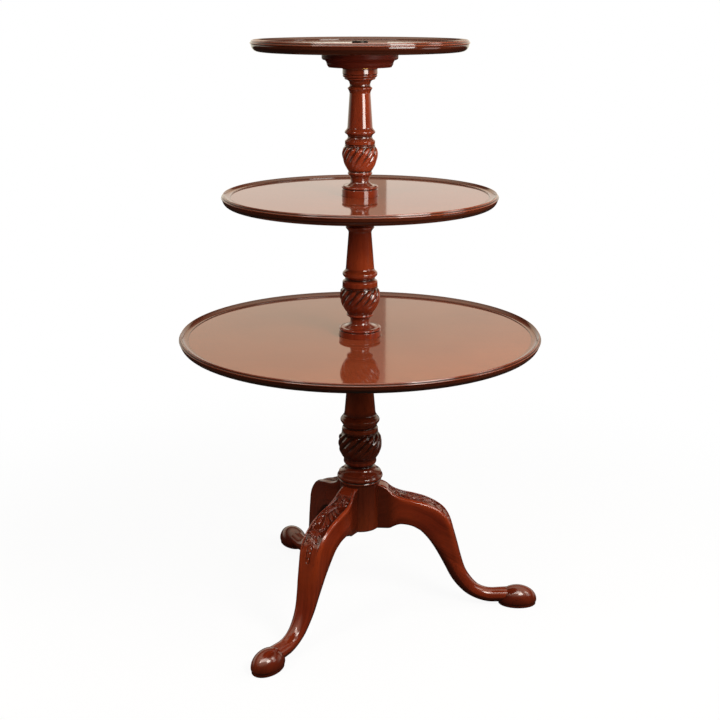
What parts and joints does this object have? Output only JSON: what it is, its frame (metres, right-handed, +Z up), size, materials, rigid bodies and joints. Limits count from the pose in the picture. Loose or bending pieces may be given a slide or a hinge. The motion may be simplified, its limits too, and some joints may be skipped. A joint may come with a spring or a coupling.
{
  "type": "three-tier dumbwaiter table",
  "caption": "Tiered dumbwaiter table: round dished trays that turn about a turned pillar on a tripod of cabriole legs with pad feet.",
  "frame": {"origin": "on the floor, under the axis of the pillar", "axes": "+Z up along the pillar, +X over the right leg; the other two legs stand at 120 and 240 degrees about +Z"},
  "size_m": [0.6735, 0.66, 1.0641],
  "materials": {
    "mahogany_tray": "french polished, high gloss",
    "mahogany_pillar": "french polished, high gloss",
    "mahogany_leg": "french polished, high gloss",
    "mahogany_bearer": "polished edge",
    "black_iron": "blackened",
    "steel_screw": "dulled with age",
    "brass_washer": "plain turned"
  },
  "bodies": {
    "stand": {"lower_column": "mahogany_pillar", "middle_column": "mahogany_pillar", "upper_column": "mahogany_pillar", "leg_right": "mahogany_leg", "leg_rear_left": "mahogany_leg", "leg_front_left": "mahogany_leg", "leg_brace": "black_iron", "brace_screws": "steel_screw", "top_stud": "black_iron", "top_nut": "black_iron", "bottom_washer": "brass_washer", "middle_washer": "brass_washer", "top_washer": "brass_washer"},
    "bottom_tier": {"bottom_tray": "mahogany_tray", "bottom_bearer": "mahogany_bearer", "bottom_bearer_screws": "steel_screw"},
    "middle_tier": {"middle_tray": "mahogany_tray", "middle_bearer": "mahogany_bearer", "middle_bearer_screws": "steel_screw"},
    "top_tier": {"top_tray": "mahogany_tray", "top_bearer": "mahogany_bearer", "top_bearer_screws": "steel_screw"}
  },
  "joints": [
    {"name": "bottom_tier_turn", "type": "hinge", "parent": "stand", "child": "bottom_tier", "pos_m": [0, 0, 0.5254], "axis": [0, 0, 1], "continuous": true},
    {"name": "middle_tier_turn", "type": "hinge", "parent": "stand", "child": "middle_tier", "pos_m": [0, 0, 0.7804], "axis": [0, 0, 1], "continuous": true},
    {"name": "top_tier_turn", "type": "hinge", "parent": "stand", "child": "top_tier", "pos_m": [0, 0, 1.0448], "axis": [0, 0, 1], "continuous": true}
  ]
}
